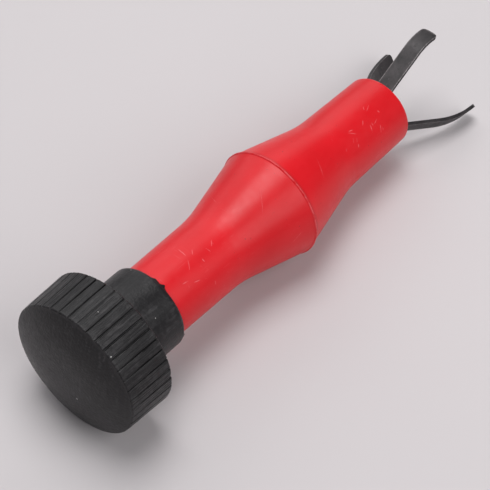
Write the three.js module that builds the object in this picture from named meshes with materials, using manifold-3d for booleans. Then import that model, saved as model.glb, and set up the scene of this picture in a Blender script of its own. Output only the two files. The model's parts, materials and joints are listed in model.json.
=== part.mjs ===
// Three-claw pick-up hand tool, in millimetres, lying on a flat surface with +Z up.
// Inside the tilted group the tool's own axis is X: knob at low X, claws at high X, and angles
// about the axis are counted from +Z towards -Y. Turning the knob clockwise, seen from its end,
// turns the lead screw, which draws the claw carrier back and closes the claws.
import * as THREE from 'three';
import { mergeVertices } from 'three/addons/utils/BufferGeometryUtils.js';
import Module from 'manifold-3d';

const wasm = await Module();
wasm.setup();

// Clearances
const fitGap = 0.3; // between still neighbours, and round running shafts
const slideGap = 0.35; // carrier in the nose bore, eyes in their slots
const lipGap = 0.45; // corners of the open claws to the nose bush

// Knob: a ribbed grip with a domed face, and a collar that covers the handle's tail
const gripLength = 12.3;
const gripFaceRadius = 17.4;
const gripBackRadius = 17.85;
const domeRise = 2.6;
const domeFullness = 2.6; // 2 is an even dome; more keeps the middle flatter and the edge steeper
const faceRound = 0.4;
const ribCount = 40;
const ribGrooveWidth = 0.5; // at the rib tops; the bottom is half as wide
const ribGrooveDepth = 0.35;
const gripEdgeBreak = 0.4; // at the grip's back
const collarLength = 12.4;
const collarWall = 1.05;
const collarRound = 0.95;
const collarFilletLength = 1.6; // where the collar meets the grip
const collarFilletHeight = 1;
const knobFloor = 0.9; // from the grip's back face to the bottom of the collar's bore

// Red shells: a straight tail, two cones that meet at the seam, and a straight nose
const tailRadius = 9.3;
const rearTubeLength = 22.3; // from the collar's edge to the rear neck
const rearNeckRadius = 9.6;
const rearConeLength = 19.5;
const rearConeRadius = 14.3; // where the cone would meet the seam
const seamRadius = 14.5;
const seamLipLength = 0.5;
const frontConeRadius = 14.2;
const frontConeLength = 19.5;
const frontNeckRadius = 9.75;
const noseLength = 23;
const mouthRadius = 9.35;
const mouthRound = 1;
const neckRound = 28;
const shellWall = 1.6;
const spigotLength = 3.5;
const spigotWall = 1.3;
const bulkheadThickness = 3;
const sealDiameter = 0.8;
const sealInset = 4; // from the tail's end to the seal's middle
const sealGap = 0.2; // the seal in its groove and in the collar
const tailRound = 0.5;
const railCount = 3;
const railWidth = 1.6;
const railDepth = 1.55;
const railRun = 22;

// Spindle, bearing and rings
const screwRadius = 3;
const threadDepth = 0.75;
const threadLead = 4;
const threadLength = 17.3;
const ringThickness = 0.8;
const ringGrooveDepth = 0.7;
const ringWall = 2;
const stopRingWall = 1.3;
const ringOpening = 1.8;
const bushWall = 1.2;
const bushFlangeWall = 1.9;
const bushFlangeThickness = 0.8;
const washerThickness = 0.7;
const insertWall = 2.7; // from its bore to the corners of the hexagon
const insertLength = 9.3;
const drivePinRadius = 0.8;
const drivePinLength = 8.8;
const spindleChamfer = 0.4;
const ringSeatClearance = 0.15; // the screw's neck under the stop ring, below the other neck

// Carrier, nut, claws and their pins and springs
const clawCount = 3; // one for each of clawShapes
const carrierTravel = 8;
const nutLength = 8;
const nutWall = 2.2; // from the screw's outside to the corners of the hexagon
const carrierWeb = 2.7;
const carrierFrontWall = 2.2; // ahead of the pins
const carrierRearLip = 0.3;
const carrierRound = 0.6;
const stopRingGap = 0.4; // stop ring in the carrier's bore
const pivotRadius = 3;
const pinRadius = 0.6;
const pinLength = 7.2;
const clawWidth = 4.4;
const clawThickness = 0.86;
const clawSplay = THREE.MathUtils.degToRad(28.3);
const clawMouthRadius = 5.97; // middle of the strip where it passes the mouth
const clawTipRound = 1.4;
// The top claw is bent more sharply and ends sooner than the two beside it: length of the straight
// beyond the mouth, length of the curve, and the tip's angle to the tool's axis.
const topClaw = { straight: 12.8, curve: 8, tipAngle: THREE.MathUtils.degToRad(-18.4) };
const sideClaw = { straight: 12.2, curve: 12.7, tipAngle: THREE.MathUtils.degToRad(-0.5) };
const clawShapes = [topClaw, sideClaw, sideClaw];
const eyeRadius = 1.45;
const eyeGapWidth = 2; // between the claw's two eyes, where its spring sits
const springWire = 0.36;
const springTurns = 3;
const springWireSides = 5;
const springStepsPerTurn = 9;
const noseBushLength = 1.6;
const noseBushSetback = 1.4;

// Places along the axis
const collarEndX = gripLength + collarLength;
const knobFloorX = gripLength + knobFloor;
const flangeX = knobFloorX + fitGap;
const tailX = flangeX + bushFlangeThickness + fitGap;
const bulkheadEndX = tailX + bulkheadThickness;
const washerX = bulkheadEndX + fitGap;
const ringX = washerX + washerThickness + fitGap;
const rearNeckX = collarEndX + rearTubeLength;
const seamX = rearNeckX + rearConeLength;
const frontNeckX = seamX + frontConeLength;
const mouthX = frontNeckX + noseLength;
const pivotX = mouthX - (clawMouthRadius - pivotRadius) / Math.tan(clawSplay);
const slotFloorX = pivotX - eyeRadius - slideGap;
const carrierEndX = pivotX + carrierFrontWall;
const noseBushEndX = mouthX - noseBushSetback;
const noseBushX = noseBushEndX - noseBushLength;
const insertX = knobFloorX - fitGap - insertLength;
const drivePinX = insertX + insertLength / 2;
const spindleX = insertX + fitGap;
// The screw's end, carried forward by the travel, still clears the carrier's web.
const screwEndX = slotFloorX - carrierWeb - carrierTravel - ringThickness;
const stopRingX = screwEndX - 2 * ringThickness;
const threadEndX = stopRingX - fitGap;
const threadX = threadEndX - threadLength;

// Radii that follow from the fits
const collarBore = tailRadius + fitGap;
const collarRadius = collarBore + collarWall;
const noseBore = mouthRadius - shellWall;
const carrierRadius = noseBore - slideGap;
const railRadius = noseBore - railDepth;
const shaftBore = screwRadius + fitGap;
const bushRadius = shaftBore + bushWall;
const insertRadius = shaftBore + insertWall;
const nutRadius = screwRadius + nutWall;
const ringGrooveRadius = screwRadius - ringGrooveDepth;
const ringBore = ringGrooveRadius + fitGap;
const carrierBore = ringBore + stopRingWall + stopRingGap;
const threadSegments = 12;
const threadStep = threadLead / threadSegments;
// The nut starts on a whole lattice step of the thread, so that the two are in mesh.
const nutFirstStep = Math.floor((stopRingX - fitGap - nutLength - threadX) / threadStep);
const nutX = threadX + nutFirstStep * threadStep;
const carrierX = nutX - carrierRearLip;
const lipStripRadius = pivotRadius + (noseBushEndX - pivotX) * Math.tan(clawSplay);
const lipOuterRadius = lipStripRadius + clawThickness / 2 / Math.cos(clawSplay);
const noseBushBore = Math.hypot(lipOuterRadius, clawWidth / 2) + lipGap;
const restTilt = Math.atan2(gripBackRadius - seamRadius, seamX - gripLength);

const shellSegments = 36;
const pieceSegments = 20;
const pinSegments = 12;
const crossHoleSegments = 16;
const sealSegments = 6;
const roundStep = 0.4; // the angle between points on a rounded corner, in radians
const domeSteps = 5;
const curveSteps = 10;
const overshoot = 1; // how far a cutting tool runs past what it cuts
const mergeDistance = 1e-4;

// --- solids ---

// A closed mesh becomes a solid whose faces point out.
function solidOf(geometry) {
  const bare = geometry.clone();
  bare.deleteAttribute('normal');
  bare.deleteAttribute('uv');
  const merged = mergeVertices(bare, mergeDistance);
  const points = merged.attributes.position;
  const a = new THREE.Vector3();
  const b = new THREE.Vector3();
  const c = new THREE.Vector3();
  const faces = [];
  let volume = 0;
  for (let i = 0; i < merged.index.count; i += 3) {
    const [p, q, r] = [0, 1, 2].map((k) => merged.index.getX(i + k));
    if (p === q || q === r || r === p) continue;
    faces.push([p, q, r]);
    a.fromBufferAttribute(points, p);
    b.fromBufferAttribute(points, q);
    c.fromBufferAttribute(points, r);
    volume += a.dot(b.cross(c)) / 6;
  }
  const triVerts = new Uint32Array(faces.flatMap(([p, q, r]) => (volume < 0 ? [p, r, q] : [p, q, r])));
  const vertProperties = new Float32Array(points.array);
  return new wasm.Manifold(new wasm.Mesh({ numProp: 3, vertProperties, triVerts }));
}

function geometryOf(solid) {
  const mesh = solid.getMesh();
  const geometry = new THREE.BufferGeometry();
  geometry.setAttribute('position', new THREE.BufferAttribute(new Float32Array(mesh.vertProperties), 3));
  geometry.setIndex(new THREE.BufferAttribute(new Uint32Array(mesh.triVerts), 1));
  const flat = geometry.toNonIndexed();
  flat.computeVertexNormals();
  return flat;
}

// Corners are [x, radius, round]; a corner with a round becomes an arc tangent to both its sides.
function roundedOutline(corners) {
  const points = [];
  corners.forEach(([x, y, round], i) => {
    const here = new THREE.Vector2(x, y);
    if (!round) {
      points.push(here);
      return;
    }
    const last = corners[(i + corners.length - 1) % corners.length];
    const next = corners[(i + 1) % corners.length];
    const back = new THREE.Vector2(last[0], last[1]).sub(here).normalize();
    const ahead = new THREE.Vector2(next[0], next[1]).sub(here).normalize();
    const half = Math.acos(THREE.MathUtils.clamp(back.dot(ahead), -1, 1)) / 2;
    const inward = back.clone().add(ahead).normalize();
    const centre = here.clone().addScaledVector(inward, round / Math.sin(half));
    const from = here.clone().addScaledVector(back, round / Math.tan(half)).sub(centre);
    const to = here.clone().addScaledVector(ahead, round / Math.tan(half)).sub(centre);
    const turn = Math.atan2(from.cross(to), from.dot(to));
    const steps = Math.max(2, Math.round(Math.abs(turn) / roundStep));
    for (let k = 0; k <= steps; k += 1) {
      points.push(from.clone().rotateAround(new THREE.Vector2(), (turn * k) / steps).add(centre));
    }
  });
  return points;
}

// A solid of revolution about X from a closed outline of [x, radius, round] corners.
function turned(corners, segments = pieceSegments) {
  const outline = roundedOutline(corners).map((p) => new THREE.Vector2(Math.max(p.y, 0), p.x));
  outline.push(outline[0].clone());
  const geometry = new THREE.LatheGeometry(outline, segments, Math.PI / segments);
  return solidOf(geometry.rotateZ(-Math.PI / 2));
}

function ring(x, length, bore, radius, segments = pieceSegments) {
  return turned([[x, bore], [x + length, bore], [x + length, radius], [x, radius]], segments);
}

// A rod or prism along X; six segments make a hexagon with a flat on top.
function rod(x, length, radius, segments = pieceSegments) {
  const turn = Math.PI / segments;
  const geometry = new THREE.CylinderGeometry(radius, radius, length, segments, 1, false, turn);
  return solidOf(geometry.rotateZ(-Math.PI / 2).translate(x + length / 2, 0, 0));
}

// A rod along Y, centred on (x, z).
function crossRod(x, z, radius, fromY, toY, segments = crossHoleSegments) {
  const geometry = new THREE.CylinderGeometry(radius, radius, toY - fromY, segments);
  return solidOf(geometry.translate(x, (fromY + toY) / 2, z));
}

function box(fromX, toX, width, fromZ, toZ) {
  const geometry = new THREE.BoxGeometry(toX - fromX, width, toZ - fromZ);
  return solidOf(geometry.translate((fromX + toX) / 2, 0, (fromZ + toZ) / 2));
}

// A plate whose outline lies in the X-Z plane, as wide as width, centred on Y.
function plate(outline, width) {
  const sweep = { depth: width, bevelEnabled: false };
  const geometry = new THREE.ExtrudeGeometry(new THREE.Shape(outline), sweep);
  return solidOf(geometry.rotateX(Math.PI / 2).translate(0, width / 2, 0));
}

// The same cut or rib repeated at count angles about the axis, the first at offset turns of a pitch.
function repeated(solid, count, offset = 0) {
  const copies = [];
  for (let k = 0; k < count; k += 1) copies.push(solid.rotate([((k + offset) * 360) / count, 0, 0]));
  return wasm.Manifold.union(copies);
}

// A right-hand threaded rod on a lattice that follows the helix, one step along X for each
// segment round it, from firstStep to lastStep. profile holds the radii along one pitch.
function threadedRod(firstStep, lastStep, profile) {
  const positions = [];
  const indices = [];
  for (let j = firstStep; j <= lastStep; j += 1) {
    for (let i = 0; i < threadSegments; i += 1) {
      const radius = profile[THREE.MathUtils.euclideanModulo(j - i, profile.length)];
      const angle = (i / threadSegments) * 2 * Math.PI;
      positions.push(threadX + j * threadStep, -radius * Math.sin(angle), radius * Math.cos(angle));
    }
  }
  const rearCentre = positions.length / 3;
  const frontCentre = rearCentre + 1;
  positions.push(threadX + firstStep * threadStep, 0, 0, threadX + lastStep * threadStep, 0, 0);
  const rows = lastStep - firstStep;
  for (let i = 0; i < threadSegments; i += 1) {
    const n = (i + 1) % threadSegments;
    indices.push(rearCentre, n, i, frontCentre, rows * threadSegments + i, rows * threadSegments + n);
    for (let j = 0; j < rows; j += 1) {
      const low = j * threadSegments;
      const high = low + threadSegments;
      indices.push(high + i, low + i, low + n, high + i, low + n, high + n);
    }
  }
  const geometry = new THREE.BufferGeometry();
  geometry.setAttribute('position', new THREE.Float32BufferAttribute(positions, 3));
  geometry.setIndex(indices);
  return solidOf(geometry);
}

// --- materials ---

function finish(color, roughness, metalness = 0) {
  return new THREE.MeshStandardMaterial({ color, roughness, metalness });
}

const redPlastic = finish(0xd5151f, 0.42);
const blackPlastic = finish(0x1c1b1c, 0.62);
const blackRubber = finish(0x141414, 0.85);
const blackSpringSteel = finish(0x2c2a2b, 0.45, 0.6);
const plainSteel = finish(0xa9aaac, 0.35, 1);
const brass = finish(0xb08a3c, 0.35, 1);

const tool = new THREE.Group();

function addPiece(name, solid, material, parent = tool) {
  const mesh = new THREE.Mesh(geometryOf(solid), material);
  mesh.name = name;
  parent.add(mesh);
  return mesh;
}

// --- handle shells ---

// The rear cone's inner wall, which the front shell's spigot seats in.
function rearInnerRadius(x) {
  const along = (x - rearNeckX) / rearConeLength;
  return THREE.MathUtils.lerp(rearNeckRadius, rearConeRadius, along) - shellWall;
}

function rearShell() {
  const sealX = tailX + sealInset;
  const grooveHalf = sealDiameter / 2 + sealGap;
  const grooveRadius = collarBore - sealDiameter - 2 * sealGap;
  const coneSlope = (rearConeRadius - rearNeckRadius) / rearConeLength;
  return turned([
    [tailX, bushRadius + fitGap],
    [tailX, tailRadius, tailRound],
    [sealX - grooveHalf, tailRadius],
    [sealX - grooveHalf, grooveRadius],
    [sealX + grooveHalf, grooveRadius],
    [sealX + grooveHalf, tailRadius],
    [rearNeckX, rearNeckRadius, neckRound],
    [seamX - seamLipLength, rearConeRadius - coneSlope * seamLipLength],
    [seamX - seamLipLength / 3, seamRadius],
    [seamX, seamRadius],
    [seamX, rearInnerRadius(seamX)],
    [rearNeckX, rearNeckRadius - shellWall, neckRound],
    [bulkheadEndX, tailRadius - shellWall],
    [bulkheadEndX, bushRadius + fitGap],
  ], shellSegments);
}

function frontShell() {
  const shoulderX = seamX + fitGap;
  const spigotX = seamX - spigotLength;
  const shell = turned([
    [shoulderX, frontConeRadius],
    [frontNeckX, frontNeckRadius, neckRound],
    [mouthX, mouthRadius, mouthRound],
    [mouthX, noseBore],
    [frontNeckX, noseBore, neckRound / 2],
    [shoulderX, rearInnerRadius(seamX) - fitGap - spigotWall],
    [spigotX, rearInnerRadius(spigotX) - fitGap - spigotWall],
    [spigotX, rearInnerRadius(spigotX) - fitGap],
    [shoulderX, rearInnerRadius(seamX) - fitGap],
  ], shellSegments);
  const railEndX = noseBushX - fitGap;
  const railX = railEndX - railRun;
  const wallRadius = noseBore + shellWall / 2;
  const rail = plate([
    new THREE.Vector2(railX, railRadius),
    new THREE.Vector2(railEndX, railRadius),
    new THREE.Vector2(railEndX, wallRadius),
    new THREE.Vector2(railX, wallRadius),
  ], railWidth);
  return shell.add(repeated(rail, railCount, 0.5));
}

addPiece('rear_shell', rearShell(), redPlastic);
addPiece('front_shell', frontShell(), redPlastic);
const noseBush = ring(noseBushX, noseBushLength, noseBushBore, noseBore - fitGap, shellSegments);
addPiece('nose_bush', noseBush, blackPlastic);

function tailSeal() {
  const middle = collarBore - sealGap - sealDiameter / 2;
  const section = new THREE.TorusGeometry(middle, sealDiameter / 2, sealSegments, shellSegments);
  return solidOf(section.rotateY(Math.PI / 2).translate(tailX + sealInset, 0, 0));
}

function tailBush() {
  const sleeveEndX = bulkheadEndX;
  return turned([
    [flangeX, shaftBore],
    [sleeveEndX, shaftBore],
    [sleeveEndX, bushRadius],
    [flangeX + bushFlangeThickness, bushRadius],
    [flangeX + bushFlangeThickness, shaftBore + bushFlangeWall],
    [flangeX, shaftBore + bushFlangeWall],
  ]);
}

addPiece('tail_seal', tailSeal(), blackRubber);
addPiece('tail_bush', tailBush(), brass);
const thrustWasher = ring(washerX, washerThickness, shaftBore, shaftBore + bushFlangeWall);
addPiece('thrust_washer', thrustWasher, plainSteel);

// --- knob ---

// The grip's ribbed outline, widening from the face to the back, with a flat rib at the bottom.
function ribbedPrism(fromX, toX) {
  const groove = ribGrooveWidth / gripFaceRadius;
  const rib = (2 * Math.PI) / ribCount - groove;
  const outline = [];
  for (let k = 0; k < ribCount; k += 1) {
    const start = (k / ribCount) * 2 * Math.PI - rib / 2;
    const end = start + rib;
    const corners = [[start, 0], [end, 0]];
    corners.push([end + groove / 4, ribGrooveDepth], [end + (groove * 3) / 4, ribGrooveDepth]);
    corners.forEach(([angle, depth]) => {
      const radius = gripFaceRadius - depth;
      outline.push(new THREE.Vector2(radius * Math.cos(angle), radius * Math.sin(angle)));
    });
  }
  const sweep = { depth: toX - fromX, bevelEnabled: false };
  const geometry = new THREE.ExtrudeGeometry(new THREE.Shape(outline), sweep);
  geometry.rotateY(Math.PI / 2).translate(fromX, 0, 0);
  const points = geometry.attributes.position;
  for (let i = 0; i < points.count; i += 1) {
    const radius = THREE.MathUtils.lerp(gripFaceRadius, gripBackRadius, points.getX(i) / gripLength);
    const scale = radius / gripFaceRadius;
    points.setXYZ(i, points.getX(i), points.getY(i) * scale, points.getZ(i) * scale);
  }
  return solidOf(geometry);
}

// The grip's turned envelope: a shallow dome, a round at the face and a broken edge at the back.
// It runs a little outside the rib tops, which are the prism's own.
function gripEnvelope() {
  const outside = gripEdgeBreak / 4;
  const domeEdge = gripFaceRadius - faceRound;
  const corners = [];
  for (let k = 0; k <= domeSteps; k += 1) {
    const share = Math.sin((k / domeSteps) * (Math.PI / 2));
    corners.push([-domeRise * (1 - share ** domeFullness), domeEdge * share]);
  }
  corners.push([faceRound / 3, gripFaceRadius - faceRound / 5]);
  corners.push([faceRound, gripFaceRadius + outside]);
  corners.push([gripLength - gripEdgeBreak, gripBackRadius + outside]);
  corners.push([gripLength, gripBackRadius - gripEdgeBreak]);
  corners.push([gripLength, 0]);
  return turned(corners, shellSegments);
}

function knob() {
  const grip = ribbedPrism(-domeRise - overshoot, gripLength + overshoot).intersect(gripEnvelope());
  const collar = turned([
    [gripLength / 2, 0],
    [gripLength / 2, collarRadius + collarFilletHeight],
    [gripLength, collarRadius + collarFilletHeight],
    [gripLength + collarFilletLength * 0.4, collarRadius + collarFilletHeight * 0.2],
    [gripLength + collarFilletLength, collarRadius],
    [collarEndX, collarRadius, collarRound],
    [collarEndX, collarBore],
    [knobFloorX, collarBore],
    [knobFloorX, 0],
  ], shellSegments);
  const pocket = rod(insertX - fitGap, knobFloorX - insertX + overshoot, insertRadius + fitGap, 6);
  return grip.add(collar).subtract(pocket);
}

function knobInsert() {
  const shaftHole = rod(insertX - overshoot, insertLength + 2 * overshoot, shaftBore);
  const pinHole = crossRod(drivePinX, 0, drivePinRadius + fitGap, -insertRadius, insertRadius);
  return rod(insertX, insertLength, insertRadius, 6).subtract(shaftHole).subtract(pinHole);
}

addPiece('knob', knob(), blackPlastic);
addPiece('knob_insert', knobInsert(), brass);
const drivePin = crossRod(drivePinX, 0, drivePinRadius, -drivePinLength / 2, drivePinLength / 2);
addPiece('drive_pin', drivePin, plainSteel);

// --- lead screw and its rings ---

const threadRoot = screwRadius - threadDepth;
const threadMiddle = screwRadius - threadDepth / 2;
// Six lattice steps make one pitch, and a lead is two pitches, so the thread has two starts.
const screwProfile = [screwRadius, threadMiddle, threadRoot, threadRoot, threadRoot, threadMiddle];
// The nut's groove is a lattice step wider on each side than the thread that runs in it.
const nutProfile = [screwRadius, screwRadius, threadMiddle, threadRoot, threadMiddle, screwRadius]
  .map((radius) => radius + fitGap);

function leadScrew() {
  const sunk = threadStep; // the shaft's ends of the thread lie a step inside it
  const coreRadius = threadRoot - spindleChamfer / 4;
  const neckRadius = ringGrooveRadius - ringSeatClearance;
  const endRadius = screwRadius - spindleChamfer / 4;
  const shaft = turned([
    [spindleX, 0],
    [spindleX, screwRadius, spindleChamfer],
    [ringX - fitGap, screwRadius],
    [ringX - fitGap, ringGrooveRadius],
    [ringX + ringThickness + fitGap, ringGrooveRadius],
    [ringX + ringThickness + fitGap, screwRadius],
    [threadX + sunk, screwRadius],
    [threadX + sunk, coreRadius],
    [threadEndX - sunk, coreRadius],
    [threadEndX - sunk, neckRadius],
    [stopRingX + ringThickness + fitGap, neckRadius],
    [stopRingX + ringThickness + fitGap, endRadius],
    [screwEndX, endRadius],
    [screwEndX, 0],
  ]);
  const thread = threadedRod(0, Math.round(threadLength / threadStep), screwProfile);
  const hole = crossRod(drivePinX, 0, drivePinRadius + fitGap, -insertRadius, insertRadius);
  return shaft.add(thread).subtract(hole);
}

// A sprung ring with an opening, so that it can be pushed into its groove from the side.
function openRing(x, bore, wall) {
  const radius = bore + wall;
  const opening = box(x - overshoot, x + ringThickness + overshoot, ringOpening, 0, radius + overshoot);
  return ring(x, ringThickness, bore, radius).subtract(opening);
}

addPiece('lead_screw', leadScrew(), plainSteel);
addPiece('retaining_ring', openRing(ringX, ringBore, ringWall), plainSteel);
addPiece('stop_ring', openRing(stopRingX, ringBore, stopRingWall), plainSteel);

// --- carrier and nut ---

function driveNut() {
  const nutLastStep = nutFirstStep + Math.round(nutLength / threadStep);
  const tap = threadedRod(nutFirstStep - 1, nutLastStep + 1, nutProfile);
  return rod(nutX, nutLength, nutRadius, 6).subtract(tap);
}

function clawCarrier() {
  const nutSeatX = nutX + nutLength + fitGap;
  const cavityEndX = slotFloorX - carrierWeb;
  const body = turned([
    [carrierX, 0],
    [carrierX, carrierRadius, carrierRound],
    [carrierEndX, carrierRadius, carrierRound],
    [carrierEndX, 0],
  ], shellSegments);
  const cutX = carrierX - overshoot;
  const cutEndX = carrierEndX + overshoot;
  const cutRadius = carrierRadius + overshoot;
  const nutPocket = rod(cutX, nutSeatX - cutX, nutRadius + fitGap, 6);
  const cavity = rod(carrierX, cavityEndX - carrierX, carrierBore);
  const keyway = box(cutX, cutEndX, railWidth + 2 * fitGap, railRadius - fitGap, cutRadius);
  const slotFloor = pivotRadius - eyeRadius - slideGap;
  const slot = box(slotFloorX, cutEndX, clawWidth + 2 * fitGap, slotFloor, cutRadius);
  // The pin goes in from one side and stops against the other.
  const pinHoleEnd = -pinLength / 2 - fitGap;
  const pinHole = crossRod(pivotX, pivotRadius, pinRadius + fitGap, pinHoleEnd, cutRadius);
  return body
    .subtract(nutPocket)
    .subtract(cavity)
    .subtract(repeated(keyway, railCount, 0.5))
    .subtract(repeated(slot, clawCount))
    .subtract(repeated(pinHole, clawCount));
}

addPiece('drive_nut', driveNut(), brass);
addPiece('claw_carrier', clawCarrier(), blackPlastic);

// --- claws, in a frame with the pivot at its origin and the strip along X ---

function clawStrip(shape) {
  const straight = (mouthX - pivotX) / Math.cos(clawSplay) + shape.straight;
  const turn = clawSplay - shape.tipAngle;
  const curveRadius = shape.curve / turn;
  const halfThickness = clawThickness / 2;
  const outer = [];
  const inner = [];
  for (let k = 0; k <= curveSteps; k += 1) {
    const angle = (turn * k) / curveSteps;
    const away = new THREE.Vector2(Math.sin(angle), Math.cos(angle));
    const middle = new THREE.Vector2(straight, -curveRadius).addScaledVector(away, curveRadius);
    outer.push(middle.clone().addScaledVector(away, halfThickness));
    inner.unshift(middle.clone().addScaledVector(away, -halfThickness));
  }
  const start = [new THREE.Vector2(0, -halfThickness), new THREE.Vector2(0, halfThickness)];
  const strip = plate([...start, ...outer, ...inner], clawWidth);
  // The tip's corners are rounded in the strip's own plane.
  const tipX = Math.max(...outer.map((p) => p.x), ...inner.map((p) => p.x));
  const plan = roundedOutline([
    [-overshoot, -clawWidth],
    [tipX - 2 * clawTipRound, -clawWidth],
    [tipX - 2 * clawTipRound, -clawWidth / 2],
    [tipX, -clawWidth / 2, clawTipRound],
    [tipX, clawWidth / 2, clawTipRound],
    [tipX - 2 * clawTipRound, clawWidth / 2],
    [tipX - 2 * clawTipRound, clawWidth],
    [-overshoot, clawWidth],
  ]);
  const sweep = { depth: 2 * tipX, bevelEnabled: false };
  const trim = new THREE.ExtrudeGeometry(new THREE.Shape(plan), sweep);
  return strip.intersect(solidOf(trim.translate(0, 0, -tipX)));
}

function claw(shape) {
  const eyes = crossRod(0, 0, eyeRadius, -clawWidth / 2, clawWidth / 2);
  const bore = crossRod(0, 0, pinRadius + fitGap, -clawWidth, clawWidth);
  const reach = eyeRadius + overshoot;
  const springGap = box(-reach, eyeRadius + slideGap, eyeGapWidth, -reach, reach);
  return clawStrip(shape).add(eyes).subtract(bore).subtract(springGap);
}

class CoilCurve extends THREE.Curve {
  constructor(radius, turns, pitch) {
    super();
    Object.assign(this, { radius, turns, pitch });
  }

  getPoint(t, target = new THREE.Vector3()) {
    const angle = t * this.turns * 2 * Math.PI;
    const along = (t - 0.5) * this.turns * this.pitch;
    return target.set(this.radius * Math.cos(angle), along, this.radius * Math.sin(angle));
  }
}

function clawSpring() {
  const pitch = (eyeGapWidth - 2 * fitGap - springWire) / springTurns;
  const coil = new CoilCurve(pinRadius + fitGap + springWire / 2, springTurns, pitch);
  const section = [];
  for (let k = 0; k < springWireSides; k += 1) {
    const angle = (k / springWireSides) * 2 * Math.PI;
    section.push(new THREE.Vector2(springWire / 2, 0).rotateAround(new THREE.Vector2(), angle));
  }
  const steps = springTurns * springStepsPerTurn;
  const sweep = { steps, extrudePath: coil, bevelEnabled: false };
  return solidOf(new THREE.ExtrudeGeometry(new THREE.Shape(section), sweep));
}

function clawPin() {
  return crossRod(0, 0, pinRadius, -pinLength / 2, pinLength / 2, pinSegments);
}

for (let k = 0; k < clawCount; k += 1) {
  const seat = new THREE.Group();
  seat.rotation.x = (k / clawCount) * 2 * Math.PI;
  const pivot = new THREE.Group();
  pivot.position.set(pivotX, 0, pivotRadius);
  seat.add(pivot);
  tool.add(seat);
  const shape = clawShapes[k % clawShapes.length];
  addPiece(`claw_${k + 1}`, claw(shape), blackSpringSteel, pivot).rotation.y = -clawSplay;
  addPiece(`claw_pin_${k + 1}`, clawPin(), plainSteel, pivot);
  addPiece(`claw_spring_${k + 1}`, clawSpring(), plainSteel, pivot);
}

// --- rest: on the grip's back edge and the seam, origin under the middle ---

tool.rotation.y = restTilt;
const pickUpTool = new THREE.Group();
pickUpTool.add(tool);
pickUpTool.updateMatrixWorld(true);
const reach = new THREE.Box3().setFromObject(tool, true);
const middle = reach.getCenter(new THREE.Vector3());
tool.position.set(-middle.x, -middle.y, -reach.min.z);

export default pickUpTool;
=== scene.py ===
import json
import math

import bmesh
import bpy
from mathutils import Matrix, Vector, noise


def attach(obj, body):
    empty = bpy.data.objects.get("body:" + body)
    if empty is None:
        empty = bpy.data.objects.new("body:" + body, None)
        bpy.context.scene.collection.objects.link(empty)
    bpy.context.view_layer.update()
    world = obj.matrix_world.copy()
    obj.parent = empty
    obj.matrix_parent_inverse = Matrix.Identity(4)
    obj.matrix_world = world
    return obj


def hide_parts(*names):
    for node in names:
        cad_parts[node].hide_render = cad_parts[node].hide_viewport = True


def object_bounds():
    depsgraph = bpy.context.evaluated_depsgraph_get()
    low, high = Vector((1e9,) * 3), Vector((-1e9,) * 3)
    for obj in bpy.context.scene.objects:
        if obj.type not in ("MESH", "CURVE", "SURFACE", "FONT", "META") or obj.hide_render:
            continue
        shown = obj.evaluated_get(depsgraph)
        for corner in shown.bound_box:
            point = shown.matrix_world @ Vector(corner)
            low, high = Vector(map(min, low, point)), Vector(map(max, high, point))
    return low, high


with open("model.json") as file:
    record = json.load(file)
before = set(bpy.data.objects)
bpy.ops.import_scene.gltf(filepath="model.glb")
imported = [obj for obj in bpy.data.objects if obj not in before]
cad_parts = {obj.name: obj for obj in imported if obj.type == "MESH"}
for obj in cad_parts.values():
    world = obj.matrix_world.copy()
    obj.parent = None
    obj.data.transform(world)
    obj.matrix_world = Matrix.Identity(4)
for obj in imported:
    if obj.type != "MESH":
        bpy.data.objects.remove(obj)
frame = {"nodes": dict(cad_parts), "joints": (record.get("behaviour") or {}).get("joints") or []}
cadLow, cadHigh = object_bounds()
cadNodes = frame["nodes"]
jointByName = {joint["name"]: joint for joint in frame["joints"]}

# the tool's own frame, in mm: X from the knob to the claws, angles from +Z towards -Y
mm = 0.001
knobJoint = jointByName["knob_turn"]
toolX = Vector(knobJoint["axis"]).normalized()
toolY = Vector((0, 1, 0))
toolZ = toolX.cross(toolY)
toolTurn = Matrix((toolX, toolY, toolZ)).transposed().to_4x4()
toolPlace = Matrix.Translation(knobJoint["pos_m"]) @ toolTurn
toolToRow = toolPlace @ Matrix.Scale(mm, 4)
rowToTool = toolToRow.inverted()
toolMetres = toolPlace.inverted()


def reach(name):
    # where a CAD piece starts and ends along the tool, and its widest radius
    points = [rowToTool @ v.co for v in cadNodes[name].data.vertices]
    stations = [p.x for p in points]
    return min(stations), max(stations), max(math.hypot(p.y, p.z) for p in points)


def place(name):
    return rowToTool @ Vector(jointByName[name]["pos_m"])


def smooth(low, high, value):
    share = min(max((value - low) / (high - low), 0), 1)
    return share * share * (3 - 2 * share)


def onTool(station, radius, angle):
    # a place in the tool's frame
    return Vector((station, -radius * math.sin(angle), radius * math.cos(angle)))


def setRadius(p, old, new):
    # moves a point in or out, straight to or from the tool's axis
    p.y *= new / old
    p.z *= new / old


tailX, seamX, seamRadius = reach("rear_shell")
spigotX, mouthX, _ = reach("front_shell")
domeX, collarEndX, _ = reach("knob")
bushX, bushEndX, bushRadius = reach("nose_bush")


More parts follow.
